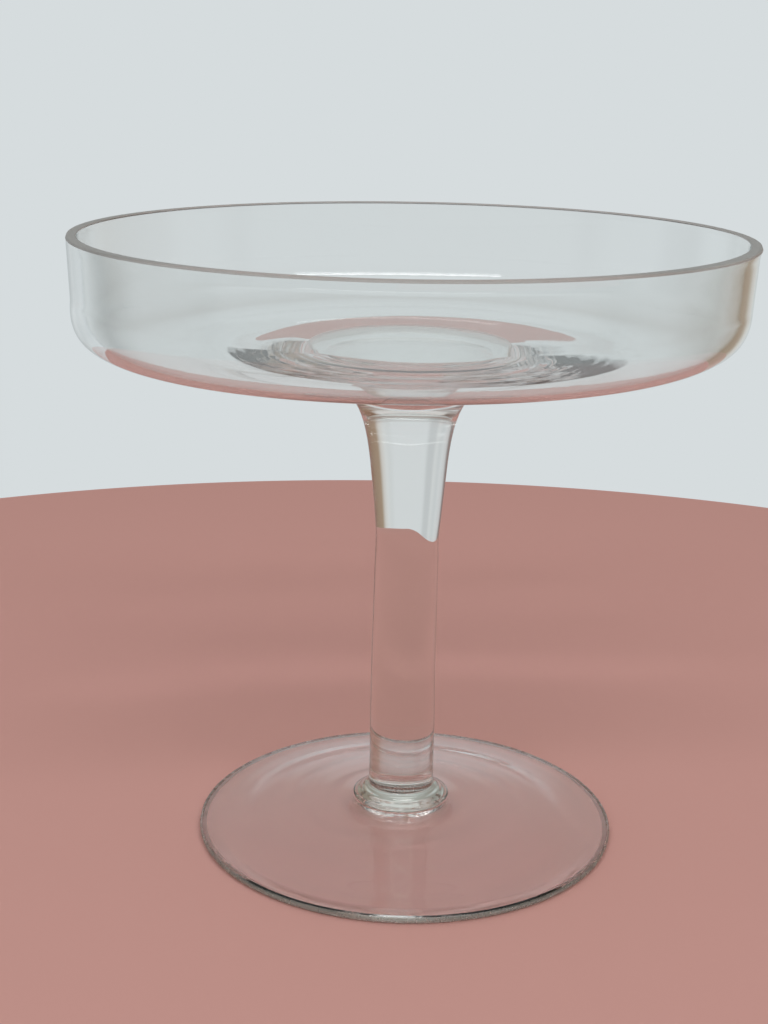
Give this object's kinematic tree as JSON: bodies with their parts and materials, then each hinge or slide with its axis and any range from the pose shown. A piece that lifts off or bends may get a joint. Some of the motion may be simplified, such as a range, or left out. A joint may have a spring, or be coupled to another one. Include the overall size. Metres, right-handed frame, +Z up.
{
  "type": "footed_bowl",
  "caption": "Clear glass footed bowl: a wide shallow straight-sided bowl with a ground rim, on a solid trumpet-topped stem, a button and a broad round foot",
  "frame": {"origin": "on the axis of the foot, in the plane that the foot stands on", "axes": "+Z up along the stem towards the bowl, -Y towards the viewer of the picture, +X to the viewer's right"},
  "size_m": [0.25, 0.25, 0.2355],
  "materials": {
    "glass": "clear, fire polished, rim ground flat"
  },
  "bodies": {
    "root": {"bowl": "glass", "stem": "glass", "button": "glass", "foot": "glass"}
  },
  "joints": []
}
